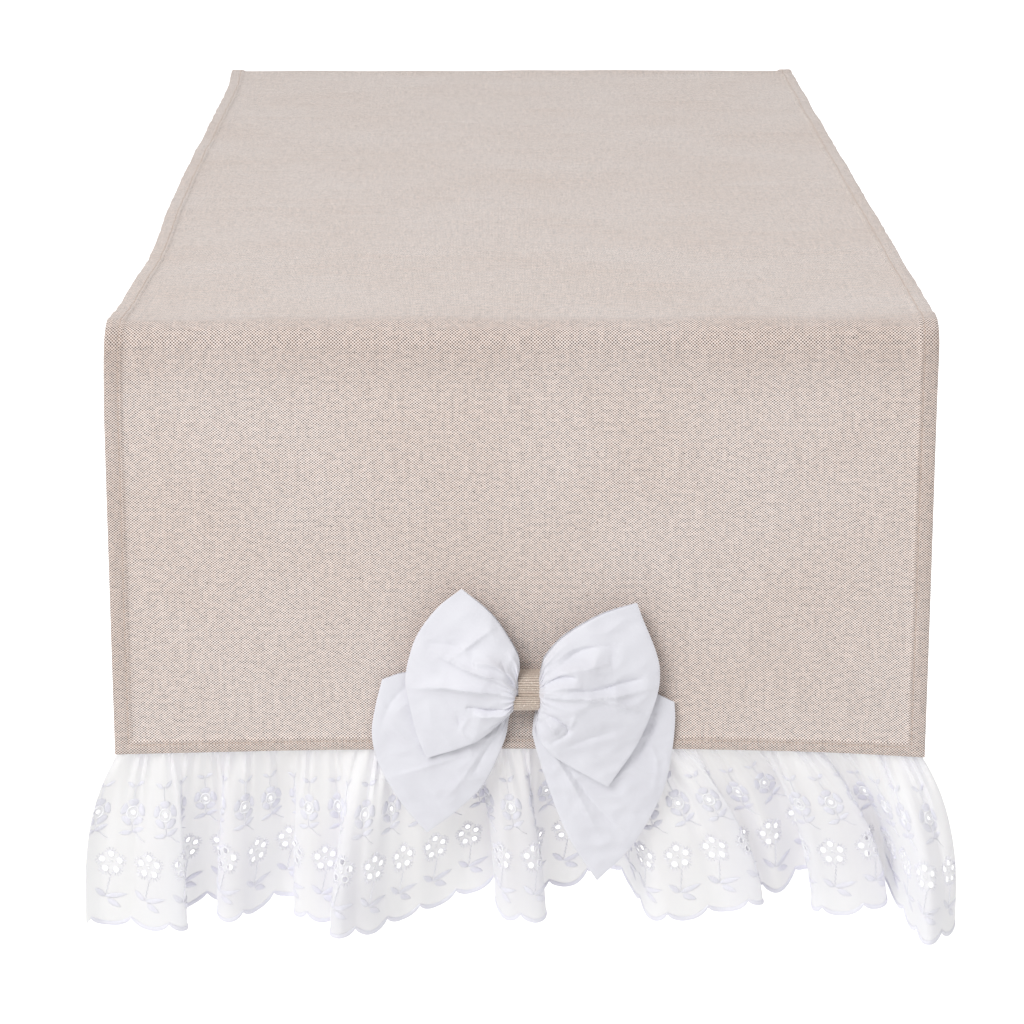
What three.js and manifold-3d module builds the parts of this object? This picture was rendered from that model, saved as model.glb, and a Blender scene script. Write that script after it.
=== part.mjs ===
// Table runner: a hemmed linen-look panel that lies over a table and hangs down at both ends.
// Each hanging end carries a gathered eyelet-lace ruffle and a double bow with a ribbed ribbon waist.
// Millimetres, +Z up, X across the runner, Y along it. The origin is the middle of the underside of
// the part that lies on the table, so z = 0 is the table's top.
import * as THREE from "three";
import { mergeVertices } from "three/addons/utils/BufferGeometryUtils.js";
import Module from "manifold-3d";

const wasm = await Module();
wasm.setup();

// Linen panel
const runnerWidth = 450; // over the side hems
const tableSpan = 955; // between the inner faces of the two hanging ends
const dropLength = 242; // table's top to the linen's bottom edge
const linenThickness = 0.8;
const hemRise = 1.0; // extra thickness where the hem is folded over
const sideHemWidth = 9.5;
const endHemWidth = 7;
const edgeRadius = 11; // inside radius of the bend over the table's edge
const bendSteps = 8; // facets in the bend
const clearance = 0.3; // between pieces that touch

// Sewing thread
const threadWidth = 0.7;
const threadRise = 0.4;
const stitchInset = 1.8; // stitch line's middle to the hem's inner edge
const gatherThread = 0.8;

// Lace ruffle
const ruffleHeight = 112; // below the linen's bottom edge
const ruffleHeading = 6; // sewn behind the end hem
const ruffleEndInset = 1.5; // heading's ends to the linen's side edges
const ruffleFlare = 21; // how far each side spreads past the heading at the bottom
const ruffleFlareRate = 4; // how soon the ruffle spreads, as a power
const ruffleFolds = 6;
const foldSteps = 16; // facets in one fold
const ruffleRowSteps = 5; // rows of facets below the end hem
const ruffleThickness = 1.2; // across the runner's end, so a fold's steep side is thinner
const headingWave = 1.2; // half the depth of the folds in the heading
const hemWave = 25; // half the depth of the folds at the bottom

// Double bow and the ribbon round its waist
const knotAboveHem = 38; // waist's middle to the linen's bottom edge
const knotAside = 4; // waist's middle to the runner's centre line
const waistHeight = 20;
const ribbonWidth = 14;
const ribbonThickness = 0.8;
const lowerClothThickness = 5;
const upperClothThickness = 8;
const waistRoom = 0.8; // bow cloth beside the ribbon, before the loops spread
const tackLength = 7; // hand stitches that hold the bow
const tackSpacing = 8;

// Derived places, in the frame of one hanging end: y = 0 is its inner face, -y is outwards
const hemThickness = linenThickness + hemRise;
const knotHeight = knotAboveHem - dropLength;
const stitchFront = hemThickness + clearance + threadRise;
const ribbonBack = linenThickness + clearance; // the ribbon's turn behind the bow lies on the linen
const bowBack = Math.max(stitchFront, ribbonBack + ribbonThickness) + clearance;
const upperClothBack = bowBack + lowerClothThickness + clearance;
const bowFront = upperClothBack + upperClothThickness;

// Outline of the front bow cloth's loops, from the waist's middle: [across, up]
const upperLoops = {
  left: [
    [-8, 22], [-19, 45], [-36, 60], [-49, 51], [-60, 35],
    [-67, 10], [-61, -24], [-55, -37], [-29, -28], [-16, -18],
  ],
  right: [
    [13, -34], [44, -54], [61, -28], [71, -3], [72, 14],
    [62, 45], [59, 52], [40, 46], [20, 34], [10, 22],
  ],
};

// Outline of the rear bow cloth's loops, which hang lower
const lowerLoops = {
  left: [
    [-67, 10], [-80, 6], [-86, -26], [-82, -44], [-70, -66],
    [-56, -83], [-39, -70], [-24, -54], [-13, -29],
  ],
  right: [
    [12, -45], [24, -88], [39, -112], [59, -91], [75, -60],
    [80, -36], [81, -7], [72, -2], [40, 6],
  ],
};

const linen = new THREE.MeshStandardMaterial({ color: 0xd4c7be, roughness: 0.95, metalness: 0 });
const lace = new THREE.MeshStandardMaterial({ color: 0xf1f0f6, roughness: 0.9, metalness: 0 });
const cotton = new THREE.MeshStandardMaterial({ color: 0xe9e9f0, roughness: 0.8, metalness: 0 });
const ribbon = new THREE.MeshStandardMaterial({ color: 0xb8a89b, roughness: 0.6, metalness: 0.1 });
const thread = new THREE.MeshStandardMaterial({ color: 0xe4dcd2, roughness: 0.7, metalness: 0 });

// A mesh with its own copy of a finish.
function piece(name, geometry, finish) {
  const mesh = new THREE.Mesh(geometry, finish.clone());
  mesh.name = name;
  return mesh;
}

// A box between two corners.
function boxBetween(low, high) {
  const [x, y, z] = high.map((value, i) => value - low[i]);
  const geometry = new THREE.BoxGeometry(x, y, z);
  geometry.translate(low[0] + x / 2, low[1] + y / 2, low[2] + z / 2);
  return geometry;
}

// Joins closed geometries into one.
function joined(geometries) {
  const solids = geometries.map(function (geometry) {
    const bare = geometry.clone();
    bare.deleteAttribute("normal");
    bare.deleteAttribute("uv");
    const merged = mergeVertices(bare, 1e-4);
    return new wasm.Manifold(new wasm.Mesh({
      numProp: 3,
      vertProperties: new Float32Array(merged.attributes.position.array),
      triVerts: new Uint32Array(merged.index.array),
    }));
  });
  const mesh = solids.reduce((sum, solid) => sum.add(solid)).getMesh();
  const geometry = new THREE.BufferGeometry();
  geometry.setAttribute("position", new THREE.BufferAttribute(mesh.vertProperties, 3));
  geometry.setIndex(new THREE.BufferAttribute(mesh.triVerts, 1));
  geometry.computeVertexNormals();
  return geometry;
}

// A closed outline through points given as pairs.
function outlineOf(pairs) {
  return new THREE.Shape(pairs.map(([across, up]) => new THREE.Vector2(across, up)));
}

// Extrudes a shape drawn in (y, z) along x, from low to high.
function alongX(shape, low, high) {
  const options = { depth: high - low, bevelEnabled: false, curveSegments: bendSteps };
  const geometry = new THREE.ExtrudeGeometry(shape, options);
  geometry.applyMatrix4(new THREE.Matrix4().makeBasis(
    new THREE.Vector3(0, 1, 0),
    new THREE.Vector3(0, 0, 1),
    new THREE.Vector3(1, 0, 0),
  ));
  geometry.translate(low, 0, 0);
  return geometry;
}

// Extrudes a shape drawn in (x, z) outwards, from one distance off the end's inner face to another.
function outwards(shape, from, to) {
  const geometry = new THREE.ExtrudeGeometry(shape, { depth: to - from, bevelEnabled: false });
  geometry.rotateX(Math.PI / 2);
  geometry.translate(0, -from, 0);
  return geometry;
}

// The quarter bend over the table's edge, between two distances from the table's surface.
function bend(inner, outer) {
  const shape = new THREE.Shape();
  const spare = clearance / edgeRadius; // leaves a gap before the flat pieces on both sides
  const start = Math.PI / 2 + spare;
  const finish = Math.PI - spare;
  shape.absarc(edgeRadius, -edgeRadius, edgeRadius + outer, start, finish, false);
  shape.absarc(edgeRadius, -edgeRadius, edgeRadius + inner, finish, start, true);
  shape.closePath();
  return shape;
}

// The middles of the two side stitch lines.
const stitchLine = runnerWidth / 2 - sideHemWidth + stitchInset;
const sides = [["left", -1], ["right", 1]];

// The panel that lies on the table: thin in the middle and thicker in the side hems, flat underneath.
function topPanel() {
  const half = runnerWidth / 2;
  const reach = tableSpan / 2 - edgeRadius;
  const body = boxBetween([-half, -reach, 0], [half, reach, linenThickness]);
  const leftHem = boxBetween([-half, -reach, 0], [sideHemWidth - half, reach, hemThickness]);
  const rightHem = boxBetween([half - sideHemWidth, -reach, 0], [half, reach, hemThickness]);
  return piece("linen_top", joined([body, leftHem, rightHem]), linen);
}

// One of the two lines of stitches on top.
function topStitch(name, side) {
  const middle = side * stitchLine;
  const reach = tableSpan / 2 - edgeRadius;
  const low = hemThickness + clearance;
  return piece(
    `side_stitch_top_${name}`,
    boxBetween(
      [middle - threadWidth / 2, -reach, low],
      [middle + threadWidth / 2, reach, low + threadRise],
    ),
    thread,
  );
}

// The linen where it bends over the table's edge.
function linenBend(end) {
  const half = runnerWidth / 2;
  const thin = alongX(bend(0, linenThickness), -half, half);
  const leftHem = alongX(bend(0, hemThickness), -half, sideHemWidth - half);
  const rightHem = alongX(bend(0, hemThickness), half - sideHemWidth, half);
  return piece(`linen_bend_${end}`, joined([thin, leftHem, rightHem]), linen);
}

// A side stitch line where it bends over the table's edge.
function bendStitch(end, name, side) {
  const low = hemThickness + clearance;
  const middle = side * stitchLine;
  const shape = bend(low, low + threadRise);
  const geometry = alongX(shape, middle - threadWidth / 2, middle + threadWidth / 2);
  return piece(`side_stitch_bend_${end}_${name}`, geometry, thread);
}

// The hanging linen, with its two side hems and its end hem folded to the outside face's thickness.
function linenDrop(end) {
  const half = runnerWidth / 2;
  const top = -edgeRadius;
  const bottom = -dropLength;
  const inner = half - sideHemWidth;
  const hemTop = bottom + endHemWidth;
  const hems = outlineOf([
    [half, top], [inner, top], [inner, hemTop], [-inner, hemTop],
    [-inner, top], [-half, top], [-half, bottom], [half, bottom],
  ]);
  const middle = boxBetween([-inner, -linenThickness, hemTop], [inner, 0, top]);
  return piece(`linen_drop_${end}`, joined([middle, outwards(hems, 0, hemThickness)]), linen);
}

// The stitches down one side hem of the hanging linen, ending on the end hem's stitch line.
function dropStitch(end, name, side) {
  const middle = side * stitchLine;
  const near = hemThickness + clearance;
  return piece(
    `side_stitch_drop_${end}_${name}`,
    boxBetween(
      [middle - threadWidth / 2, -near - threadRise, endHemWidth - dropLength],
      [middle + threadWidth / 2, -near, -edgeRadius],
    ),
    thread,
  );
}

// The stitches along the end hem, which also hold the ruffle's heading.
function endStitch(end) {
  const near = hemThickness + clearance;
  const middle = endHemWidth - stitchInset - dropLength;
  const reach = runnerWidth / 2 - ruffleEndInset;
  return piece(
    `end_stitch_${end}`,
    boxBetween(
      [-reach, -near - threadRise, middle - threadWidth / 2],
      [reach, -near, middle + threadWidth / 2],
    ),
    thread,
  );
}

// The ruffle's rows from the heading down: height, half width, front limit and half the folds' depth.
function ruffleRows() {
  const headingHalf = runnerWidth / 2 - ruffleEndInset;
  const rows = [{ z: ruffleHeading - dropLength, half: headingHalf, front: clearance, wave: headingWave }];
  for (let i = 0; i <= ruffleRowSteps; i++) {
    const t = i / ruffleRowSteps;
    rows.push({
      z: -dropLength - t * ruffleHeight,
      half: headingHalf + ruffleFlare * (1 - (1 - t) ** ruffleFlareRate),
      front: THREE.MathUtils.lerp(clearance, -hemThickness, t),
      wave: THREE.MathUtils.lerp(headingWave, hemWave, t),
    });
  }
  return rows;
}

// The lace gathered into folds: a closed sheet whose folds deepen and spread towards the bottom.
function ruffle(end) {
  const rows = ruffleRows();
  const columns = ruffleFolds * foldSteps;
  const positions = [];
  for (const shift of [-ruffleThickness / 2, ruffleThickness / 2]) {
    for (const row of rows) {
      for (let i = 0; i <= columns; i++) {
        const middle = row.front + ruffleThickness / 2 + row.wave;
        const fold = row.wave * Math.cos((i / foldSteps) * 2 * Math.PI);
        positions.push((2 * i / columns - 1) * row.half, middle + fold + shift, row.z);
      }
    }
  }
  return piece(`ruffle_${end}`, closedSheet(positions, columns, rows.length - 1), lace);
}

// A closed solid from two grids of points: the outer face's grid first, then the inner face's.
function closedSheet(positions, columns, rows) {
  const width = columns + 1;
  const layer = width * (rows + 1);
  const index = [];
  const quad = (a, b, c, d) => index.push(a, b, c, a, c, d);
  for (let j = 0; j < rows; j++) {
    for (let i = 0; i < columns; i++) {
      const a = j * width + i;
      quad(a, a + width, a + width + 1, a + 1);
      quad(layer + a, layer + a + 1, layer + a + width + 1, layer + a + width);
    }
  }
  for (let i = 0; i < columns; i++) {
    const low = rows * width + i;
    quad(i, i + 1, layer + i + 1, layer + i);
    quad(low, layer + low, layer + low + 1, low + 1);
  }
  for (let j = 0; j < rows; j++) {
    const a = j * width;
    const b = a + columns;
    quad(a, layer + a, layer + a + width, a + width);
    quad(b, b + width, layer + b + width, layer + b);
  }
  const geometry = new THREE.BufferGeometry();
  geometry.setAttribute("position", new THREE.Float32BufferAttribute(positions, 3));
  geometry.setIndex(index);
  geometry.computeVertexNormals();
  return geometry;
}

// The thread that draws the ruffle's heading together, behind the end hem.
function gatheringThread(end) {
  const near = 2 * clearance + ruffleThickness + 2 * headingWave;
  const reach = runnerWidth / 2 - ruffleEndInset;
  const middle = ruffleHeading / 2 - dropLength;
  return piece(
    `gathering_thread_${end}`,
    boxBetween(
      [-reach, near, middle - gatherThread / 2],
      [reach, near + gatherThread, middle + gatherThread / 2],
    ),
    thread,
  );
}

// One bow cloth: two loops joined by the waist that the ribbon grips.
function bowCloth(name, loops, back, front) {
  const waistEnd = ribbonWidth / 2 + waistRoom;
  const waistHalf = waistHeight / 2;
  const outline = [
    [waistEnd, waistHalf],
    [-waistEnd, waistHalf],
    ...loops.left,
    [-waistEnd, -waistHalf],
    [waistEnd, -waistHalf],
    ...loops.right,
  ];
  return piece(name, outwards(outlineOf(outline), back, front), cotton);
}

// The ribbon wound round both waists, with its end lapped over the lower half of the front.
function waistRibbon(end) {
  const innerHalf = waistHeight / 2 + clearance;
  const outerHalf = innerHalf + ribbonThickness;
  const innerBack = ribbonBack + ribbonThickness;
  const innerFront = bowFront + clearance;
  const outerFront = innerFront + ribbonThickness;
  const lapFront = outerFront + ribbonThickness;
  const shape = outlineOf([
    [-ribbonBack, -outerHalf],
    [-ribbonBack, outerHalf],
    [-outerFront, outerHalf],
    [-outerFront, 0],
    [-lapFront, 0],
    [-lapFront, -outerHalf],
  ]);
  const room = outlineOf([
    [-innerBack, -innerHalf],
    [-innerFront, -innerHalf],
    [-innerFront, innerHalf],
    [-innerBack, innerHalf],
  ]);
  shape.holes.push(room);
  return piece(`waist_ribbon_${end}`, alongX(shape, -ribbonWidth / 2, ribbonWidth / 2), ribbon);
}

// The hand stitches that hold the bow, where they show on the linen's inner face.
function tackStitch(end, name, side) {
  const middle = side * tackSpacing / 2;
  return piece(
    `tack_stitch_${end}_${name}`,
    boxBetween(
      [-tackLength / 2, clearance, middle - threadWidth / 2],
      [tackLength / 2, clearance + threadRise, middle + threadWidth / 2],
    ),
    thread,
  );
}

// The double bow with its ribbon and stitches, placed at the waist's middle.
function bow(end) {
  const group = new THREE.Group();
  group.position.set(knotAside, 0, knotHeight);
  group.add(
    bowCloth(`bow_rear_cloth_${end}`, lowerLoops, bowBack, bowBack + lowerClothThickness),
    bowCloth(`bow_front_cloth_${end}`, upperLoops, upperClothBack, bowFront),
    waistRibbon(end),
    tackStitch(end, "upper", 1),
    tackStitch(end, "lower", -1),
  );
  return group;
}

// Everything at one end of the runner, hanging on the side of the table that faces -y.
function hangingEnd(end) {
  const group = new THREE.Group();
  group.add(linenBend(end), linenDrop(end), endStitch(end), ruffle(end), gatheringThread(end), bow(end));
  for (const [name, side] of sides) {
    group.add(bendStitch(end, name, side), dropStitch(end, name, side));
  }
  return group;
}

const runner = new THREE.Group();
runner.add(topPanel());
for (const [name, side] of sides) {
  runner.add(topStitch(name, side));
}

const front = hangingEnd("front");
front.position.y = -tableSpan / 2;
const back = hangingEnd("back");
back.position.y = tableSpan / 2;
back.rotation.z = Math.PI;
runner.add(front, back);

export default runner;
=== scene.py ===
import math

import bpy
import numpy as np
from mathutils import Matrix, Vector, geometry


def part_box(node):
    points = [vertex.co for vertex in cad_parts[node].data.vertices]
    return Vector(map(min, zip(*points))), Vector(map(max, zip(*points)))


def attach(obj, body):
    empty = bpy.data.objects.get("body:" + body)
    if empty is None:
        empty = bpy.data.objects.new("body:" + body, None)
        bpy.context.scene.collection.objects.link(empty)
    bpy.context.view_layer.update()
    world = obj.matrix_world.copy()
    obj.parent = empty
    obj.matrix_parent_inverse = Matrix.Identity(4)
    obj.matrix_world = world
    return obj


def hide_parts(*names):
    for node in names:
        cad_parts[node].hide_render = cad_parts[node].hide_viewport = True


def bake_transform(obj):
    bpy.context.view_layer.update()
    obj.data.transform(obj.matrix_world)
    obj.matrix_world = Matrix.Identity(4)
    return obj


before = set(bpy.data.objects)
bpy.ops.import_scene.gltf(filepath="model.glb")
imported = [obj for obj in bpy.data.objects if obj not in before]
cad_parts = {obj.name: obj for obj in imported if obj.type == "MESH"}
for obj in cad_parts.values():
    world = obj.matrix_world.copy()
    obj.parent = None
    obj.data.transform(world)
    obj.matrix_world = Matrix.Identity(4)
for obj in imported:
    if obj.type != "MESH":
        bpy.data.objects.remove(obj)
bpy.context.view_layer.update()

# --- Linen panel ----------------------------------------------------------------------------------
# One long cut of undyed linen and cotton canvas, folded into a hem on all four sides. It lies on the
# table, bends over its edge at both ends and hangs down. The two halves meet at the table's middle.

drop_low, drop_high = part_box("linen_drop_front")
HALF_WIDTH = drop_high.x
TABLE_EDGE = -drop_high.y
EDGE_RADIUS = -drop_high.z
DROP = -drop_low.z
LINEN = 0.0008
HEM_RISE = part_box("linen_top")[1].z - LINEN
SIDE_HEM = 0.0095
END_HEM = 0.007
STITCH_INSET = 0.0018
FLAT_REACH = TABLE_EDGE - EDGE_RADIUS
BEND_RADIUS = EDGE_RADIUS + LINEN / 2
BEND_LENGTH = BEND_RADIUS * math.pi / 2
BEND_END = FLAT_REACH + BEND_LENGTH
HALF_LENGTH = BEND_END + DROP - EDGE_RADIUS
SIDES = {"front": -1, "back": 1}

# How far each kind of unevenness takes the cloth out of its flat or straight place
WRINKLE = 0.0005
FINE_WRINKLE = 0.00032
BEND_RIDGE = 0.0009
BEND_PUFF = 0.0013
HANGING_WAVE = 0.00035
EDGE_PULL = 0.0035
EDGE_PULL_PEAK = 0.0045
EDGE_PUCKER = 0.0002
CORNER_DIP = 0.0045
MIDDLE_RISE = 0.0028
STITCH_DENT = 0.0004
EDGE_ROUNDING = 0.0006


def ripple(a, b, size_a, size_b, seed):
    """Soft irregular waves over two coordinates, from about -1 to 1, with waves of the two sizes."""
    chance = np.random.default_rng(seed)
    total = 0
    waves = 9
    for _ in range(waves):
        turn, phase = chance.uniform(0, 2 * math.pi, 2)
        rate = chance.uniform(0.4, 1.7)
        way = math.cos(turn) * a / size_a + math.sin(turn) * b / size_b
        total = total + np.sin(2 * math.pi * rate * way + phase)
    return total / math.sqrt(waves)


def bump_at(value, centre, width):
    """A smooth hump of height 1."""
    return np.exp(-(((value - centre) / width) ** 2))


def ramp(value, start, end):
    """0 before start and 1 after end, with a smooth rise between them."""
    t = np.clip((value - start) / (end - start), 0, 1)
    return t * t * (3 - 2 * t)


def cloth_rise(across, along, side):
    """How far the linen stands off the table: faint wrinkles, a soft ridge and a puff at the bend."""
    y = side * along
    on_top = 1 - ramp(along, FLAT_REACH - 0.01, FLAT_REACH + 0.005)
    wrinkles = WRINKLE * (1 + ripple(across, y, 0.30, 0.07, 3)) * on_top
    uneven = 1 + 0.6 * ripple(across, y, 0.12, 1, 5)
    ridge = BEND_RIDGE * bump_at(along, FLAT_REACH - 0.004, 0.008) * uneven
    puff = BEND_PUFF * bump_at(along, BEND_END + 0.004, 0.015)
    wrinkles = wrinkles + FINE_WRINKLE * (1 + ripple(across, y, 0.11, 0.02, 6)) * on_top
    hang = HANGING_WAVE * (1 + ripple(across, along, 0.16, 0.25, 9)) * (1 - on_top)
    return np.maximum(wrinkles + ridge + puff + hang, 0)


def edge_pull(across, along, side):
    """How far the left side edge is drawn in along the table, with the small puckers of its hem."""
    distance = TABLE_EDGE + side * along
    inside = ramp(distance, -0.05, 0.07) * (1 - ramp(distance, 0.84, 0.95))
    pull = EDGE_PULL * inside + EDGE_PULL_PEAK * bump_at(distance, 0.19, 0.13)
    pull = pull + EDGE_PUCKER * ripple(distance, distance, 0.05, 0.09, 11) * inside
    return np.where(across < 0, pull, 0) * (np.abs(across) / HALF_WIDTH) ** 3


def end_dip(across):
    """How much lower than its middle the end edge hangs towards its corners, mostly at one of them."""
    share = across / HALF_WIDTH
    return CORNER_DIP * np.abs(share) ** 2.6 * (1 + 0.28 * share) - MIDDLE_RISE


def hem_depths(across, along):
    """Distances to the nearest side edge and to the end edge."""
    return HALF_WIDTH - np.abs(across), HALF_LENGTH - along


def linen_lift(across, along, side, outer):
    """Height of the outer or inner face off the table, with the hem's fold and stitch line."""
    lift = cloth_rise(across, along, side)
    fold = np.zeros_like(lift)
    dent = np.zeros_like(lift)
    edge = np.zeros_like(lift)
    for depth, hem in zip(hem_depths(across, along), (SIDE_HEM, END_HEM)):
        fold = np.maximum(fold, 1 - ramp(depth, hem - 0.0002, hem + 0.0010))
        dent = np.maximum(dent, bump_at(depth, hem - STITCH_INSET, 0.0006))
        edge = np.maximum(edge, 1 - ramp(depth, 0, 0.0009))
    dent = dent * (0.3 + 0.7 * ramp(along, FLAT_REACH, BEND_END))
    if outer:
        return lift + LINEN + HEM_RISE * fold - STITCH_DENT * dent - EDGE_ROUNDING * edge
    groove = 0
    for depth, hem in zip(hem_depths(across, along), (SIDE_HEM, END_HEM)):
        groove = np.maximum(groove, bump_at(depth, hem, 0.0004))
    return lift + 0.0004 * edge + 0.00025 * groove


def hung(across, along, lift, side):
    """A point of the cloth in the shared frame, lifted off the table's surface."""
    turn = np.clip((along - FLAT_REACH) / BEND_RADIUS, 0, math.pi / 2)
    down = np.maximum(along - FLAT_REACH - BEND_LENGTH, 0)
    radius = EDGE_RADIUS + lift
    y = np.minimum(along, FLAT_REACH) + radius * np.sin(turn)
    down = down + end_dip(-side * across) * down / (DROP - EDGE_RADIUS)
    z = radius * np.cos(turn) - EDGE_RADIUS - down
    x = across + edge_pull(across, along, side)
    return np.stack([x, side * y, z], axis=-1)


def on_linen(across, along, side, proud=0.0, outer=True):
    """A point on the linen's outer or inner face, or proud of it by a small distance."""
    across, along = np.broadcast_arrays(np.asarray(across, float), np.asarray(along, float))
    return hung(across, along, linen_lift(across, along, side, outer) + proud, side)


def hem_steps(hem):
    """Distances in from an edge that are close together where the hem's section changes."""
    stitch = hem - STITCH_INSET
    return [0, 0.0004, 0.001, 0.45 * hem, stitch - 0.0012, stitch - 0.0005, stitch, stitch + 0.0005,
            stitch + 0.0011, hem - 0.0001, hem + 0.0006, hem + 0.0012, hem + 0.004]


def new_piece(name, points, faces):
    """A mesh object from points and faces, linked to the scene."""
    mesh = bpy.data.meshes.new(name)
    mesh.from_pydata(np.asarray(points).reshape(-1, 3).tolist(), [], faces)
    mesh.update()
    piece = bpy.data.objects.new(name, mesh)
    bpy.context.scene.collection.objects.link(piece)
    return piece


def only(piece):
    """Selects one object and makes it active."""
    bpy.ops.object.select_all(action="DESELECT")
    piece.select_set(True)
    bpy.context.view_layer.objects.active = piece


def outward(piece, angle=50, merge=1e-6):
    """Merges points closer than merge, turns the faces outwards and smooths all but sharp edges."""
    only(piece)
    bpy.ops.object.mode_set(mode="EDIT")
    bpy.ops.mesh.select_all(action="SELECT")
    if merge:
        bpy.ops.mesh.remove_doubles(threshold=merge)
    bpy.ops.mesh.normals_make_consistent(inside=False)
    bpy.ops.object.mode_set(mode="OBJECT")
    if angle:
        bpy.ops.object.shade_smooth_by_angle(angle=math.radians(angle))


def thicken(piece, thickness, angle):
    """Gives a sheet its thickness, half on each side, and smooths all but sharp edges."""
    only(piece)
    thick = piece.modifiers.new("thickness", "SOLIDIFY")
    thick.thickness = thickness
    thick.offset = 0
    bpy.ops.object.modifier_apply(modifier=thick.name)
    bpy.ops.object.shade_smooth_by_angle(angle=math.radians(angle))


def give_value(piece, name, values):
    """Stores a value at each point, for a material to read."""
    held = piece.data.attributes.new(name, "FLOAT", "POINT")
    held.data.foreach_set("value", values.astype(np.float32))


def tube_faces(count, m, closed=False):
    """Quads between rings of m points, stored ring by ring. Closed joins the last ring to the first."""
    faces = []
    for k in range(count if closed else count - 1):
        here = k * m
        there = (k + 1) % count * m
        faces += [(here + i, there + i, there + (i + 1) % m, here + (i + 1) % m) for i in range(m)]
    return faces


def distances(points):
    """How far along a line each of its points is."""
    return np.concatenate([[0], np.cumsum(np.linalg.norm(np.diff(points, axis=0), axis=1))])


def places_at(at, run, points):
    """The places at some distances along a line, whose points are at the distances in run."""
    return np.stack([np.interp(at, run, points[:, k]) for k in range(points.shape[1])], axis=-1)


def grid_faces(rows, columns, start=0, closed=False):
    """Quads of a grid that is stored row by row. Closed joins its last row to its first."""
    faces = []
    for j in range(rows if closed else rows - 1):
        here = start + j * columns
        there = start + (j + 1) % rows * columns
        faces += [(here + i, here + i + 1, there + i + 1, there + i) for i in range(columns - 1)]
    return faces


def rim_faces(rows, columns):
    """Quads that join the borders of two equal grids, stored one after the other."""
    layer = rows * columns
    border = list(range(columns))
    border += [j * columns + columns - 1 for j in range(1, rows)]
    border += [(rows - 1) * columns + i for i in range(columns - 2, -1, -1)]
    border += [j * columns for j in range(rows - 2, 0, -1)]
    ring = zip(border, border[1:] + border[:1])
    return [(a, b, layer + b, layer + a) for a, b in ring]


MIDDLE_COLUMNS = 92
side_steps = [HALF_WIDTH - step for step in hem_steps(SIDE_HEM)]
middle = np.linspace(-side_steps[-1], side_steps[-1], MIDDLE_COLUMNS)[1:-1]
linen_across = np.array([-step for step in side_steps] + list(middle) + side_steps[::-1])
linen_along = np.concatenate([
    np.arange(0, FLAT_REACH - 0.03, 0.0038),
    np.arange(FLAT_REACH - 0.03, FLAT_REACH, 0.0025),
    np.linspace(FLAT_REACH, BEND_END, 13),
    np.arange(BEND_END + 0.0025, BEND_END + 0.03, 0.0025),
    np.arange(BEND_END + 0.032, HALF_LENGTH - END_HEM - 0.006, 0.005),
    [HALF_LENGTH - step for step in hem_steps(END_HEM)[::-1]],
])


def linen_half(end):
    """Half of the panel as one closed cloth, with its flat pattern in metres as a UV map."""
    side = SIDES[end]
    across, along = np.meshgrid(linen_across, linen_along)
    rows, columns = across.shape
    points = np.concatenate([on_linen(across, along, side, outer=outer) for outer in (True, False)])
    faces = grid_faces(rows, columns) + grid_faces(rows, columns, rows * columns)
    faces += rim_faces(rows, columns)
    piece = new_piece(f"linen_{end}_half", points, faces)
    flat = np.stack([across, side * along], axis=-1).reshape(-1, 2)
    flat = np.concatenate([flat, flat])
    side_depth, end_depth = hem_depths(flat[:, 0], np.abs(flat[:, 1]))
    # Painted shade: the hems get a darker colour for the light that their folded layers hold back from
    # behind, most on the hanging ends
    folded = (side_depth < SIDE_HEM + 0.0002) | (end_depth < END_HEM + 0.0002)
    hanging = 0.15 + 0.85 * ramp(np.abs(flat[:, 1]), FLAT_REACH, BEND_END)
    give_value(piece, "hem", folded * hanging)
    # Painted shade: a soft band across the bend, where the colour is darkened
    give_value(piece, "bend", bump_at(np.abs(flat[:, 1]), FLAT_REACH + BEND_LENGTH / 2 + 0.004, 0.020))
    flat_map = piece.data.uv_layers.new(name="cloth")
    corner = np.empty(len(piece.data.loops), int)
    piece.data.loops.foreach_get("vertex_index", corner)
    flat_map.data.foreach_set("uv", flat[corner].astype(np.float32).ravel())
    outward(piece)
    return piece


def hex_colour(code):
    """An sRGB hex colour as linear red, green, blue and alpha."""
    parts = [int(code[i:i + 2], 16) / 255 for i in (0, 2, 4)]
    return tuple(c / 12.92 if c <= 0.04045 else ((c + 0.055) / 1.055) ** 2.4 for c in parts) + (1.0,)


def new_material(name):
    """A material with nothing but its Principled shader, which is returned too."""
    material = bpy.data.materials.new(name)
    material.use_nodes = True
    return material, material.node_tree.nodes["Principled BSDF"]


def add_node(material, kind, settings=None, **inputs):
    """Adds a shader node. Inputs are named by their socket, or by i and its number, and hold a value
    or another node's output."""
    node = material.node_tree.nodes.new("ShaderNode" + kind)
    for key, value in (settings or {}).items():
        setattr(node, key, value)
    for key, value in inputs.items():
        socket = node.inputs[int(key[1:]) if key[0] == "i" and key[1:].isdigit() else key]
        if isinstance(value, bpy.types.NodeSocket):
            material.node_tree.links.new(value, socket)
        else:
            socket.default_value = value
    return node


def calculate(material, operation, *values):
    """A Math node's output."""
    numbered = {f"i{i}": value for i, value in enumerate(values)}
    return add_node(material, "Math", {"operation": operation}, **numbered).outputs[0]


def blend_colours(material, kind, amount, first, second):
    """A Mix node on two colours, each a hex code or another node's output. Returns the result."""
    settings = {"data_type": "RGBA", "blend_type": kind}
    pair = [hex_colour(colour) if isinstance(colour, str) else colour for colour in (first, second)]
    return add_node(material, "Mix", settings, i0=amount, i6=pair[0], i7=pair[1]).outputs[2]


def noise(material, place, scale, detail=1.0, distortion=0.0):
    """A noise texture's grey value."""
    inputs = {"Vector": place, "Scale": scale, "Detail": detail, "Distortion": distortion}
    return add_node(material, "TexNoise", **inputs).outputs["Fac"]


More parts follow.
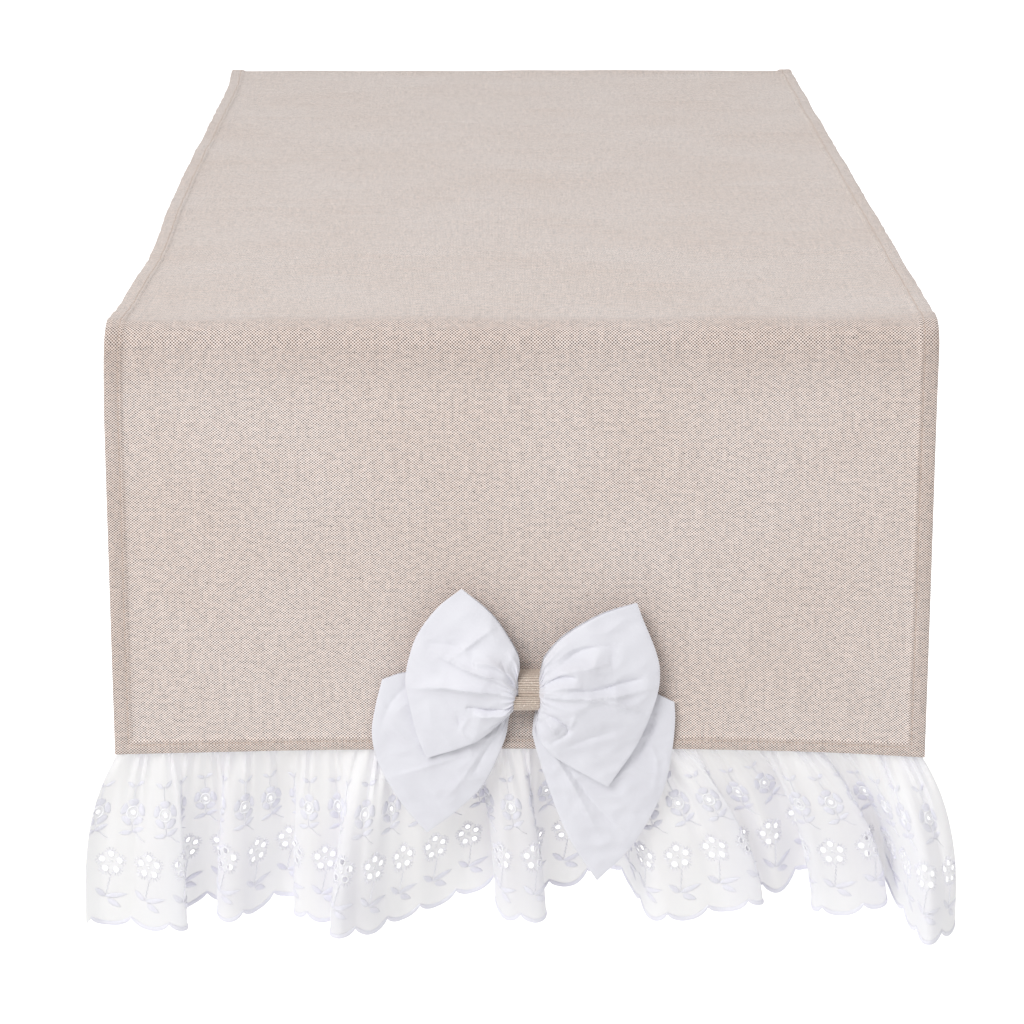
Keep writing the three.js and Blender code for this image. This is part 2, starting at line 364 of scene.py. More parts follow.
def from_range(material, value, low, high, to_low=0.0, to_high=1.0):
    """A value with low..high taken to to_low..to_high."""
    return add_node(material, "MapRange", Value=value, i1=low, i2=high, i3=to_low, i4=to_high).outputs[0]


def attribute(material, name):
    """The value that was stored at each point."""
    return add_node(material, "Attribute", {"attribute_name": name}).outputs["Fac"]


def object_place(material):
    """Places in the object's own frame."""
    return add_node(material, "TexCoord").outputs["Object"]


def link(material, output, shader, socket):
    """Joins a node's output to one of a shader's inputs."""
    material.node_tree.links.new(output, shader.inputs[socket])


def finish_material(material, shader, colour, height, strength, distance, **settings):
    """Gives the shader its colour, its relief and its other inputs, with underscores for spaces."""
    relief = add_node(material, "Bump", Strength=strength, Distance=distance, Height=height).outputs[0]
    link(material, colour, shader, "Base Color")
    link(material, relief, shader, "Normal")
    for key, value in settings.items():
        shader.inputs[key.replace("_", " ")].default_value = value
    return material


WARP_REPEAT = 0.00181
WEFT_REPEAT = 0.00147


def linen_material():
    """Undyed linen and cotton, plain woven from paired cream and brown threads: a matt cloth whose two
    thread colours show as a fine chequer, with slubs and paler and darker threads along its length."""
    material, shader = new_material("linen_canvas")
    cloth = add_node(material, "UVMap", {"uv_map": "cloth"}).outputs["UV"]
    wander = add_node(material, "TexNoise", Vector=cloth, Scale=90.0, Detail=2.0).outputs["Color"]
    centred = add_node(material, "VectorMath", {"operation": "SUBTRACT"}, i0=wander, i1=(0.5, 0.5, 0.5))
    small = add_node(material, "VectorMath", {"operation": "SCALE"}, i0=centred.outputs[0], Scale=0.0005)
    woven = add_node(material, "VectorMath", {"operation": "ADD"}, i0=cloth, i1=small.outputs[0])
    place = add_node(material, "SeparateXYZ", Vector=woven.outputs[0])
    waves = []
    for axis, repeat in (("X", WARP_REPEAT), ("Y", WEFT_REPEAT)):
        turn = calculate(material, "MULTIPLY", place.outputs[axis], 2 * math.pi / repeat)
        waves.append(calculate(material, "SINE", turn))
    chequer = calculate(material, "MULTIPLY", *waves)
    fleck = from_range(material, noise(material, cloth, 420.0, 0.0), 0.36, 0.6)
    brown = blend_colours(material, "MIX", fleck, "4C352D", "8E7365")
    colour = blend_colours(material, "MIX", from_range(material, chequer, -0.66, 0.36), brown, "FFF5EF")

    # Paler and darker threads, long along the cloth and shorter across it
    long = add_node(material, "Mapping", Vector=cloth, Scale=(1000.0, 30.0, 1.0)).outputs[0]
    wide = add_node(material, "Mapping", Vector=cloth, Scale=(150.0, 420.0, 1.0)).outputs[0]
    streaks = calculate(material, "MULTIPLY", noise(material, long, 1.0), 0.8)
    threads = calculate(material, "ADD", streaks, noise(material, wide, 1.0))
    tone = from_range(material, threads, 0.6, 1.2, 0.92, 1.10)
    colour = blend_colours(material, "MULTIPLY", 1.0, colour, tone)
    warm = from_range(material, noise(material, cloth, 11.0, 3.0), 0.35, 0.65, 0.0, 0.35)
    colour = blend_colours(material, "MULTIPLY", warm, colour, "F6EFE9")
    nubs = add_node(material, "TexVoronoi", Vector=cloth, Scale=170.0).outputs["Distance"]
    nub = from_range(material, nubs, 0.05, 0.09, 0.55, 1.0)
    colour = blend_colours(material, "MULTIPLY", 1.0, colour, nub)
    # Painted shade on the hems, which let less light through from behind than the single cloth
    hem = calculate(material, "MULTIPLY", attribute(material, "hem"), 0.85)
    colour = blend_colours(material, "MULTIPLY", hem, colour, "EEEBE9")
    # Painted shade across the bend of the cloth
    colour = blend_colours(material, "MULTIPLY", attribute(material, "bend"), colour, "F4F2F1")
    return finish_material(
        material, shader, colour, chequer, 0.3, 0.00012,
        Roughness=0.92, Specular_IOR_Level=0.25, Sheen_Weight=0.2,
    )


def bend_with_drop(piece, end):
    """Bakes the piece's placement into its points, which already follow the table's cloth before
    the bend and the hanging end after it.
    """
    side = SIDES[end]
    start = hung(0.0, FLAT_REACH, LINEN / 2, side)
    finish = hung(0.0, BEND_END, LINEN / 2, side)
    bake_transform(piece)


linen_canvas = linen_material()
for end in SIDES:
    half = linen_half(end)
    half.data.materials.append(linen_canvas)
    bend_with_drop(half, end)
    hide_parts("linen_top", f"linen_bend_{end}", f"linen_drop_{end}")

# --- Hem stitches ---------------------------------------------------------------------------------
# Cream polyester sewing thread in a straight lockstitch, one row round each hem near its inner edge.
# Each stitch is a short taut length of thread that sinks into the cloth at both ends.

STITCH_LENGTH = 0.0027
STITCH_PITCH = 0.0033
STITCH_PROUD = 0.00008
THREAD = 0.00055


def one_stitch():
    """The points and faces of a stitch along x, from a sphere drawn out."""
    bpy.ops.object.select_all(action="DESELECT")
    lying = (0, math.pi / 2, 0)
    bpy.ops.mesh.primitive_uv_sphere_add(segments=8, ring_count=6, radius=0.5, rotation=lying)
    bpy.ops.object.transform_apply(rotation=True)
    ball = bpy.context.object
    points = np.array([v.co for v in ball.data.vertices])
    faces = [tuple(face.vertices) for face in ball.data.polygons]
    bpy.data.objects.remove(ball)

    # The sphere's points come in a different order each run, so they are put in a fixed one
    order = np.lexsort(np.round(points, 5).T)
    place = np.argsort(order).tolist()
    faces = sorted(tuple(place[i] for i in face) for face in faces)
    points = points[order]
    points[:, 0] = np.sign(points[:, 0]) * np.abs(2 * points[:, 0]) ** 0.7 / 2
    return points, faces


stitch_points, stitch_faces = one_stitch()


def combined(rows):
    """One set of points and faces from several."""
    faces = []
    count = 0
    for row_points, row_faces in rows:
        faces += [tuple(count + i for i in face) for face in row_faces]
        count += len(row_points)
    return np.concatenate([row_points for row_points, _ in rows]), faces


def stitch_row(starts, ends, ups, width=THREAD):
    """Points and faces of a row of stitches, each from a start to an end with its own upward way."""
    rows = []
    for start, finish, up in zip(starts, ends, ups):
        way = finish - start
        length = np.linalg.norm(way)
        way = way / length
        up = up - way * (up @ way)
        up = up / np.linalg.norm(up)
        axes = np.stack([way * length, np.cross(up, way) * width, up * width * 0.8])
        rows.append((stitch_points @ axes + (start + finish) / 2, stitch_faces))
    return combined(rows)


def linen_stitches(across_pairs, along_pairs, side):
    """A row of stitches on the linen, from pairs of places in its flat pattern."""
    first = on_linen(across_pairs[0], along_pairs[0], side, STITCH_PROUD)
    second = on_linen(across_pairs[1], along_pairs[1], side, STITCH_PROUD)
    above = on_linen(across_pairs[0], along_pairs[0], side, STITCH_PROUD + 0.001)
    return stitch_row(first, second, above - first)


def thread_material():
    """Spun polyester thread: softly lustrous, with the fine slanting twist of its plies."""
    material, shader = new_material("sewing_thread")
    twist = noise(material, object_place(material), 2500.0)
    colour = blend_colours(material, "MIX", twist, "B8A395", "DDCBBF")
    return finish_material(material, shader, colour, twist, 0.4, 0.0001, Roughness=0.55)


sewing_thread = thread_material()


def thread_piece(name, points, faces):
    """A piece of sewing thread, with its material."""
    piece = new_piece(name, points, faces)
    outward(piece)
    piece.data.materials.append(sewing_thread)
    return piece


stitch_line = HALF_WIDTH - SIDE_HEM + STITCH_INSET
end_line = HALF_LENGTH - END_HEM + STITCH_INSET
for end, side in SIDES.items():
    along = np.arange(0.0005, end_line - STITCH_PITCH, STITCH_PITCH)
    rows = []
    for line in (-stitch_line, stitch_line):
        beside = np.full_like(along, line)
        rows.append(linen_stitches((beside, beside), (along, along + STITCH_LENGTH), side))
    side_rows = thread_piece(f"side_hem_stitches_{end}", *combined(rows))
    across = np.arange(-stitch_line, stitch_line - STITCH_LENGTH, STITCH_PITCH)
    beside = np.full_like(across, end_line)
    end_row = thread_piece(
        f"end_hem_stitches_{end}",
        *linen_stitches((across, across + STITCH_LENGTH), (beside, beside), side),
    )
    bend_with_drop(side_rows, end)
    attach(end_row, f"{end}_drop")
    names = [f"side_stitch_{part}_{hand}" for part in ("top", f"bend_{end}", f"drop_{end}")
             for hand in ("left", "right")]
    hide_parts(*names)
    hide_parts(f"end_stitch_{end}")

# --- Eyelet lace ruffle ---------------------------------------------------------------------------
# A strip of white cotton broderie anglaise with a scalloped edge, punched with real eyelets. It is
# gathered along its top, sewn behind the end hem, and falls in deep uneven folds.

RUFFLE_DROP = 0.112
HEADING = 0.006
LACE = 0.00035
SCALLOP_WIDTH = 0.0235
SCALLOP_DEPTH = 0.0052
GATHER_SPACING = 0.0066
GATHER_PITCH = 0.0085
GATHER_STITCH = 0.005
GATHER_THREAD = 0.0008

# The bottom edge seen from above: [across, inwards from the linen's inner face], in millimetres
FOLD_PLAN = [
    (-246, 12), (-231, 17), (-211, 12), (-197, 8), (-189, 14), (-195, 25), (-190, 34), (-178, 38),
    (-166, 35), (-173, 25), (-168, 18), (-158, 21), (-148, 32), (-135, 41), (-122, 38), (-129, 28),
    (-124, 20), (-115, 16), (-101, 21), (-96, 10), (-107, -3), (-101, -9), (-86, 0), (-66, 19),
    (-44, 32), (-22, 43), (-8, 45), (-14, 33), (-10, 22), (-2, 14), (8, 13), (15, 20), (9, 32),
    (16, 44), (32, 47), (50, 55), (64, 42), (74, 17), (92, 9), (114, 12), (132, 8), (138, 16),
    (128, 28), (134, 37), (148, 33), (163, 46), (174, 42), (167, 28), (172, 17), (190, 13), (205, 14),
    (209, 23), (202, 36), (211, 42), (219, 20), (227, -11), (236, -8), (247, 12),
]
END_INSET = 0.0015
ruffle_top = HEADING - DROP


def curve_through(points, count):
    """Evenly spaced points on a smooth curve through the given ones, and the curve's length."""
    points = np.asarray(points, float)
    padded = np.concatenate([2 * points[:1] - points[1:2], points, 2 * points[-1:] - points[-2:-1]])
    fine = []
    steps = np.linspace(0, 1, 24, endpoint=False)[:, None]
    for a, b, c, d in zip(padded, padded[1:], padded[2:], padded[3:]):
        curve = 2 * b + (c - a) * steps + (2 * a - 5 * b + 4 * c - d) * steps ** 2
        fine.append((curve + (3 * b - 3 * c + d - a) * steps ** 3) / 2)
    fine = np.concatenate(fine + [points[-1:]])
    run = distances(fine)
    return places_at(np.linspace(0, run[-1], count), run, fine), run[-1]


plan_curve, plan_length = curve_through(np.array(FOLD_PLAN) / 1000, 1500)
SCALLOPS = round(plan_length / SCALLOP_WIDTH)
SCALLOP = plan_length / SCALLOPS
plan_share = np.linspace(0, 1, len(plan_curve))
FALL_STEPS = 60


def ruffle_point(run, fall):
    """A point of the ruffle's middle surface in the front end's frame: run is the distance along the
    flat strip and fall the distance down it, from the heading's raw edge."""
    share = np.clip(run / plan_length, 0, 1)
    heading_x = (2 * share - 1) * (HALF_WIDTH - END_INSET)
    gathers = 2 * math.pi * share * 2 * (HALF_WIDTH - END_INSET) / GATHER_SPACING
    gathers = gathers + 1.8 * ripple(share, share, 0.05, 0.09, 21)
    depth_wave = 0.0019 * np.sin(gathers) * (1 + 0.4 * ripple(share, share, 0.03, 0.07, 22))
    below = np.clip(fall - HEADING, 0, None)
    fade = np.exp(-below / (0.024 + 0.011 * np.tanh(ripple(share, share, 0.02, 0.06, 23))))
    goal_x = np.interp(share, plan_share, plan_curve[:, 0]) - heading_x
    goal_depth = np.interp(share, plan_share, plan_curve[:, 1]) - 0.0018
    t = np.clip(below / RUFFLE_DROP, 0, 1.02)
    power = 1.5
    spread = 1 - np.clip(1 - t, 0, 1) ** power
    reach = np.hypot(goal_x, goal_depth)
    sunk = np.zeros_like(t)
    for k in range(FALL_STEPS):
        part = (k + 0.5) / FALL_STEPS
        slope = reach * power * (1 - part) ** (power - 1) / RUFFLE_DROP
        down_share = np.sqrt(np.maximum(1 - slope ** 2, 0.1))
        sunk = sunk + down_share * np.clip(t * FALL_STEPS - k, 0, 1) / FALL_STEPS
    soft = 0.0014 * ripple(share, t, 0.03, 3.0, 24) * ramp(t, 0.02, 0.3) * (1 - 0.5 * t)
    soft = soft + 0.0012 * ripple(share * 7, t, 0.35, 0.9, 25) * ramp(t, 0.1, 0.6)
    wide = np.abs(2 * share - 1) ** 8
    x = heading_x + goal_x * (1 - np.clip(1 - t, 0, 1) ** (power + 1.3 * wide))
    depth = 0.0022 + depth_wave * fade + goal_depth * spread + soft
    z = np.where(fall < HEADING, ruffle_top - fall, -DROP - sunk * RUFFLE_DROP) - end_dip(heading_x)
    return np.stack([x, depth - TABLE_EDGE, z], axis=-1)


def on_ruffle(run, fall, proud=0.0):
    """A point on the ruffle, proud of its middle surface towards the front."""
    run, fall, proud = np.broadcast_arrays(*(np.asarray(v, float) for v in (run, fall, proud)))
    small = 0.0004
    place = ruffle_point(run, fall)
    along = ruffle_point(run + small, fall) - ruffle_point(run - small, fall)
    down = ruffle_point(run, fall + small) - ruffle_point(run, fall - small)
    normal = np.cross(down, along)
    normal = normal / np.maximum(np.linalg.norm(normal, axis=-1, keepdims=True), 1e-12)
    return place + normal * proud[..., None]


def turned(points, end):
    """Points of the front end, or the same points turned half round for the back end."""
    return points if end == "front" else points * np.array([-1, -1, 1])


STRIP = HEADING + RUFFLE_DROP


def scallop_fall(run):
    """How far down the strip the scalloped edge reaches at a distance along it."""
    off = np.abs(2 * ((run / SCALLOP) % 1) - 1) * 0.94
    full = 1 - math.sqrt(1 - 0.94 ** 2)
    return STRIP - SCALLOP_DEPTH * (1 - np.sqrt(1 - off ** 2)) / full


# Places within one repeat of the pattern: [along from a notch, up from the scallop's lowest point]
EYELET_FLOWER = (SCALLOP / 2, 0.040)
EYELET_RING = 0.0054
EYELET_HOLE = 0.0016
EYELET_SIDES = 12
UPPER_FLOWER = (0.0, 0.073)
UPPER_HOLE = 0.0012
REPEAT_START = -0.0027
REPEAT_OVERHANG = 0.012
petal_turns = [math.pi / 2 + 2 * math.pi * k / 5 for k in range(5)]


def hole_list():
    """Centre and radius of each eyelet in one repeat."""
    x, up = EYELET_FLOWER
    holes = [((x + EYELET_RING * math.cos(a), up + EYELET_RING * math.sin(a)), EYELET_HOLE)
             for a in petal_turns]
    return holes + [(UPPER_FLOWER, UPPER_HOLE)]


def flat_repeat():
    """One repeat of the flat strip with its eyelets cut out: points as (along, fall) and triangles."""
    xs = np.linspace(REPEAT_START, REPEAT_START + SCALLOP, 13)
    fall_steps = np.linspace(0, STRIP - SCALLOP_DEPTH - 0.002, 38)
    outline = [(xs[0], f) for f in fall_steps]
    notch = 0.0
    bottom = sorted({notch, *np.linspace(xs[0], xs[-1], 25).tolist()})
    outline += [(x, float(scallop_fall(np.array(x)))) for x in bottom]
    outline += [(xs[-1], f) for f in fall_steps[::-1]]
    outline += [(x, 0.0) for x in xs[-2:0:-1]]
    points = list(outline)
    edges = [(i, (i + 1) % len(outline)) for i in range(len(outline))]
    turns = [2 * math.pi * k / EYELET_SIDES for k in range(EYELET_SIDES)]
    for (x, up), radius in hole_list():
        first = len(points)
        points += [(x + radius * math.cos(a), STRIP - up + radius * math.sin(a)) for a in turns]
        edges += [(first + k, first + (k + 1) % EYELET_SIDES) for k in range(EYELET_SIDES)]
    border = np.array(points)
    for fall in fall_steps[1:]:
        for x in xs[1:-1]:
            clear = np.hypot(border[:, 0] - x, border[:, 1] - fall).min() > 0.0009
            inside = all(math.hypot(x - hx, fall - STRIP + up) > radius + 0.0005
                         for (hx, up), radius in hole_list())
            if clear and inside:
                points.append((x, fall))
    made = geometry.delaunay_2d_cdt([Vector(p) for p in points], edges, [], 0, 1e-7)
    points = np.array([tuple(p) for p in made[0]])
    triangles = []
    for face in made[2]:
        x, fall = points[list(face)].mean(0)
        cut = any(math.hypot(x - hx, fall - STRIP + up) < radius * 0.98
                  for (hx, up), radius in hole_list())
        if not cut and fall < scallop_fall(np.array(x)) - 1e-5:
            triangles.append(tuple(face))
    return points, triangles


def lace_cloth(end):
    """The whole strip, repeated along its length, folded, and given its thickness."""
    flat, triangles = flat_repeat()
    shifts = [np.array([k * SCALLOP, 0]) for k in range(SCALLOPS)]
    strip, faces = combined([(flat - (REPEAT_START, 0) + shift, triangles) for shift in shifts])
    piece = new_piece(f"lace_ruffle_{end}", turned(on_ruffle(*strip.T), end), faces)
    outward(piece, angle=None, merge=2e-5)
    thicken(piece, LACE, 60)
    return piece


# How light spreads through thin white cotton and its thread
SEE_THROUGH = {"Subsurface_Radius": (1.0, 1.0, 1.0), "Subsurface_Scale": 0.0028}


def lace_material():
    """White cotton lawn: thin, matt and finely woven, with a cool cast and faint crossing threads."""
    material, shader = new_material("cotton_lawn")
    place = object_place(material)
    fine = noise(material, place, 900.0, 2.0)
    shares = [calculate(material, "MULTIPLY", fine, 0.4),
              calculate(material, "MULTIPLY", noise(material, place, 30.0, 2.0), 0.6)]
    colour = blend_colours(material, "MIX", calculate(material, "ADD", *shares), "F5F4FF", "FCFBFF")
    return finish_material(
        material, shader, colour, fine, 0.25, 0.0001,
        Subsurface_Weight=1.0, **SEE_THROUGH, Roughness=0.85, Specular_IOR_Level=0.3, Sheen_Weight=0.1,
    )


cotton_lawn = lace_material()
for end in SIDES:
    ruffle = lace_cloth(end)
    ruffle.data.materials.append(cotton_lawn)
    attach(ruffle, f"{end}_drop")
    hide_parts(f"ruffle_{end}")

# --- Embroidery on the ruffle ---------------------------------------------------------------------
# White satin stitch worked over the lawn: bound eyelets with a fringe of rays, leaves, five-petalled
# flowers, stems, and the padded border of the scallops.


def dome(outline, heights, centre):
    """A low closed mound on the flat strip: rings that shrink towards a centre, each at a height."""
    outline = np.asarray(outline)
    centre = np.asarray(centre)
    count = len(outline)
    rings = []
    for scale, height in heights:
        ring = centre + (outline - centre) * scale
        rings.append(np.column_stack([ring, np.full(count, height)]))
    points = np.concatenate(rings + [[(*centre, heights[-1][1])], [(*centre, heights[0][1])]])
    top = len(rings) * count
    faces = []
    for j in range(len(rings) - 1):
        for i in range(count):
            k = (i + 1) % count
            faces.append((j * count + i, j * count + k, (j + 1) * count + k, (j + 1) * count + i))
    last = (len(rings) - 1) * count
    faces += [(last + i, last + (i + 1) % count, top) for i in range(count)]
    faces += [((i + 1) % count, i, top + 1) for i in range(count)]
    return points, faces


# Rings of a mound from its outline inwards: [share of the outline, height]
MOUND = [(1.0, -0.00005), (0.95, 0.00022), (0.55, 0.00038)]
STEM_THREAD = 0.0006


def leaf(start, tip, width):
    """A pointed leaf from its stem to its tip, with the stepped edge of its stitches."""
    start = np.array(start)
    way = np.array(tip) - start
    side = np.array([-way[1], way[0]]) / np.linalg.norm(way)
    share = np.linspace(0, 1, 9)
    half = width / 2 * np.sin(math.pi * share ** 0.8) ** 0.8
    half[1::2] = half[1::2] * 0.86
    upper = start + way * share[:, None] + side * half[:, None]
    lower = start + way * share[:, None] - side * half[:, None]
    outline = np.concatenate([upper[:-1], lower[:0:-1]])
    return dome(outline, MOUND, start + way * 0.5)


def petal(centre, turn, inner, outer, width):
    """A round-ended petal that points away from a flower's centre."""
    centre = np.array(centre)
    way = np.array([math.cos(turn), math.sin(turn)])
    side = np.array([-way[1], way[0]])
    angles = np.linspace(0, 2 * math.pi, 12, endpoint=False)
    middle = (inner + outer) / 2
    reach = (outer - inner) / 2
    wide = width / 2 * (1 + 0.25 * np.cos(angles))
    outward_part = way * (middle + reach * np.cos(angles))[:, None]
    outline = centre + outward_part + side * (wide * np.sin(angles))[:, None]
    return dome(outline, MOUND, centre + way * middle)


def cord_ring(centre, radius, thread, sides=12):
    """A bound ring of thread, flat underneath with a rounded crown."""
    section = [(-1, -0.05), (-0.7, 0.75), (0, 1), (0.7, 0.75), (1, -0.05)]
    x, up = centre
    points = []
    for k in range(sides):
        a = 2 * math.pi * k / sides
        for off, height in section:
            r = radius + off * thread / 2
            points.append((x + r * math.cos(a), up + r * math.sin(a), height * thread * 0.55))
    return np.array(points), tube_faces(sides, len(section), closed=True)


def left_of(line):
    """The way to the left of a flat line, at each of its points."""
    way = np.gradient(line, axis=0)
    way = way / np.linalg.norm(way, axis=1, keepdims=True)
    return np.column_stack([-way[:, 1], way[:, 0]])


def stem(points):
    """A stem of thread along a few points, as a low ridge with closed ends."""
    line = np.asarray(points)
    side = left_of(line) * STEM_THREAD / 2
    rows = [np.column_stack([line + side * s, np.full(len(line), h)])
            for s, h in ((-1, -0.00005), (0, STEM_THREAD * 0.6), (1, -0.00005))]
    last = 3 * (len(line) - 1)
    faces = tube_faces(len(line), 3) + [(0, 1, 2), (last, last + 2, last + 1)]
    return np.stack(rows, axis=1).reshape(-1, 3), faces


def scallop_border():
    """The padded satin band along one scallop's edge."""
    xs = np.linspace(0, SCALLOP, 19)
    width = 0.0025
    profile = [(0.0002, -0.00025), (0.0001, 0.0003), (-0.4 * width, 0.0005), (-0.9 * width, 0.00035),
               (-width, -0.00005)]
    edge = np.column_stack([xs, STRIP - scallop_fall(xs)])
    inside = left_of(edge)
    inside[:, 0] = inside[:, 0] * np.minimum(1, np.minimum(xs, SCALLOP - xs) / 0.002)
    points = []
    for place, normal in zip(edge, inside):
        points += [(*(place - normal * off), height) for off, height in profile]
    m = len(profile)
    last = m * (len(xs) - 1)
    faces = tube_faces(len(xs), m) + [tuple(range(m - 1, -1, -1)), tuple(last + i for i in range(m))]
    return np.array(points), faces


# Leaves of the sprig: [foot and tip, from the sprig's own foot, then width]
SPRIG_LEAVES = [
    ((0, 0), (0.0135, 0.0030), 0.0034),
    ((0, 0), (-0.0060, 0.0062), 0.0036),
    ((0.0012, -0.0015), (0.0092, -0.0058), 0.0040),
]
UPPER_PETAL = {"inner": 0.0040, "outer": 0.0086, "width": 0.0078}
RAY_SPREADS = (-1.25, -0.75, -0.25, 0.25, 0.75, 1.25)


def motifs():
    """All the stitching of one repeat, satin and bound rings: points (along, up, height) and faces."""
    x, up = EYELET_FLOWER
    parts = [scallop_border()]
    cords = [cord_ring((x, up), 0.0011, 0.0007)]
    for a in petal_turns:
        centre = (x + EYELET_RING * math.cos(a), up + EYELET_RING * math.sin(a))
        cords.append(cord_ring(centre, EYELET_HOLE + 0.0004, 0.0008))
        for spread in RAY_SPREADS:
            way = np.array([math.cos(a + spread), math.sin(a + spread)])
            inner = np.array(centre) + way * (EYELET_HOLE + 0.0009)
            parts.append(stem([inner, inner + way * 0.0010, inner + way * 0.0019]))
    sprig = np.array([x - 0.0032, 0.0175])
    for foot, tip, width in SPRIG_LEAVES:
        parts.append(leaf(sprig + foot, sprig + tip, width))
    zigzag = [sprig + (0.0002 + 0.0003 * k + 0.0004 * (-1) ** k, 0.0013 * k) for k in range(12)]
    parts.append(stem(zigzag))
    x, up = UPPER_FLOWER
    for a in petal_turns:
        parts.append(petal((x, up), a, **UPPER_PETAL))
    cords.append(cord_ring((x, up), 0.0039, 0.0011, 16))
    cords.append(cord_ring((x, up), UPPER_HOLE + 0.0006, 0.0009))
    node = np.array([x + 0.0004, up - 0.0122])
    parts.append(stem([(x, up - 0.0075), (x + 0.0002, up - 0.0100), node]))
    parts.append(leaf(node, node + (-0.0088, -0.0016), 0.0032))
    parts.append(leaf(node, node + (0.0080, 0.0034), 0.0034))
    tendril = [(0.0030, -0.0012), (0.0058, -0.0040), (0.0085, -0.0055)]
    parts.append(stem([node] + [node + step for step in tendril]))
    parts.append(stem([(x, up + 0.0088), (x - 0.0003, up + 0.0120), (x, up + 0.0175)]))
    parts.append(leaf((x - 0.0006, up + 0.0165), (x - 0.0072, up + 0.0190), 0.0028))
    parts.append(leaf((x + 0.0006, up + 0.0165), (x + 0.0068, up + 0.0205), 0.0028))
    return combined(parts), combined(cords)


def stitched_on(name, end, repeat, repeat_faces, material):
    """One kind of stitching in every repeat, laid on the folded strip."""
    rows = []
    for k in range(SCALLOPS):
        run = repeat[:, 0] - REPEAT_START + k * SCALLOP
        if run.min() < -REPEAT_OVERHANG or run.max() > plan_length + REPEAT_OVERHANG:
            continue
        run = np.clip(run, 0.0004, plan_length - 0.0004)
        rows.append((on_ruffle(run, STRIP - repeat[:, 1], repeat[:, 2] + LACE / 2), repeat_faces))
    points, faces = combined(rows)
    piece = new_piece(f"{name}_{end}", turned(points, end), faces)
    outward(piece, angle=60, merge=None)
    piece.data.materials.append(material)
    return piece


def satin_material():
    """Mercerised cotton embroidery thread laid side by side: a soft silky sheen, a little greyer than
    the lawn because light rakes across the threads."""
    material, shader = new_material("satin_stitch")
    slant = {"Rotation": (0, 0.6, 0), "Scale": (1800, 1800, 500)}
    laid = add_node(material, "Mapping", Vector=object_place(material), **slant).outputs[0]
    fibres = noise(material, laid, 1.0)
    colour = blend_colours(material, "MIX", fibres, "E9E8F3", "F7F6FD")
    return finish_material(
        material, shader, colour, fibres, 0.5, 0.0001,
        Subsurface_Weight=0.12, **SEE_THROUGH, Roughness=0.5, Sheen_Weight=0.2,
    )


def cord_material():
    """The same cotton thread bound tightly over a cord round each eyelet: the whitest, roundest part."""
    material, shader = new_material("bound_cord")
    turns = noise(material, object_place(material), 1600.0)
    colour = blend_colours(material, "MIX", turns, "F0F0F6", "FFFFFF")
    return finish_material(material, shader, colour, turns, 0.5, 0.0001, Roughness=0.6)


satin_motifs, ring_motifs = motifs()
satin_stitch = satin_material()
bound_cord = cord_material()
for end in SIDES:
    satin = stitched_on("ruffle_satin_stitch", end, *satin_motifs, satin_stitch)
    rings = stitched_on("ruffle_eyelet_rings", end, *ring_motifs, bound_cord)
    for piece in (satin, rings):
        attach(piece, f"{end}_drop")

    # The gathering thread runs through the heading, and shows on its inner face
    run = np.arange(0.003, plan_length - 0.006, GATHER_PITCH)
    first = on_ruffle(run, HEADING / 2, -0.0005)
    second = on_ruffle(run + GATHER_STITCH, HEADING / 2, -0.0005)
    behind = np.tile([0.0, 1.0, 0.0], (len(run), 1))
    row_points, row_faces = stitch_row(first, second, behind, GATHER_THREAD)
    gathering = thread_piece(f"gathering_stitches_{end}", turned(row_points, end), row_faces)
    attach(gathering, f"{end}_drop")
    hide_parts(f"gathering_thread_{end}")

# --- Double bow -----------------------------------------------------------------------------------
# Two flat tubes of crisp white cotton, one on the other, each pinched at the middle so that its two
# loops stand out and spread into points. The rear one hangs lower.

waist_low, waist_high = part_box("waist_ribbon_front")
WAIST_X = (waist_low.x + waist_high.x) / 2
WAIST_Z = (waist_low.z + waist_high.z) / 2
LINEN_FACE = TABLE_EDGE + LINEN
COTTON = 0.0003
WAIST_END = (waist_high.x - waist_low.x) / 2 - 0.001

# Edges of each loop from the waist outwards, and its outer fold from the upper point to the lower,
# in millimetres from the waist's middle. Depths are off the linen's face.
FRONT_BOW = {
    "left": {
        "upper": [(-4.5, 17), (-6.5, 26), (-19, 45.5), (-36, 60.5)],
        "fold": [(-49, 50), (-60, 35), (-65, 21), (-67, 9), (-66, 0), (-61, -23)],
        "lower": [(-12, -13), (-17.5, -18), (-30, -27.5), (-55.5, -37)],
    },
    "right": {
        "upper": [(8, 18), (10, 23), (20, 34), (40, 46), (59.5, 52.5)],
        "fold": [(62.5, 44), (70, 25), (72.5, 12), (70.5, -3), (61, -28)],
        "lower": [(5.5, -12), (4.5, -17.5), (13, -34), (44.5, -54)],
    },
    "back": 9.5, "front": 13.5, "puff": 8.5,
}
REAR_BOW = {
    "left": {
        "upper": [(-40, 13), (-67, 10.5), (-80, 6.5)],
        "fold": [(-84, -10), (-86, -26), (-82, -44), (-70, -66)],
        "lower": [(-10, -14), (-13, -29), (-24, -54), (-39, -70), (-56, -83.5)],
    },
    "right": {
        "upper": [(40, 8), (66, 0), (81, -7)],
        "fold": [(81.5, -18), (80, -36), (75, -60), (59, -91)],
        "lower": [(3, -20), (4, -30), (13, -60), (24, -88), (39, -112.5)],
    },
    "back": 2.8, "front": 6.0, "puff": 4.0,
}
LOOP_ROWS = 86
LOOP_COLUMNS = 130


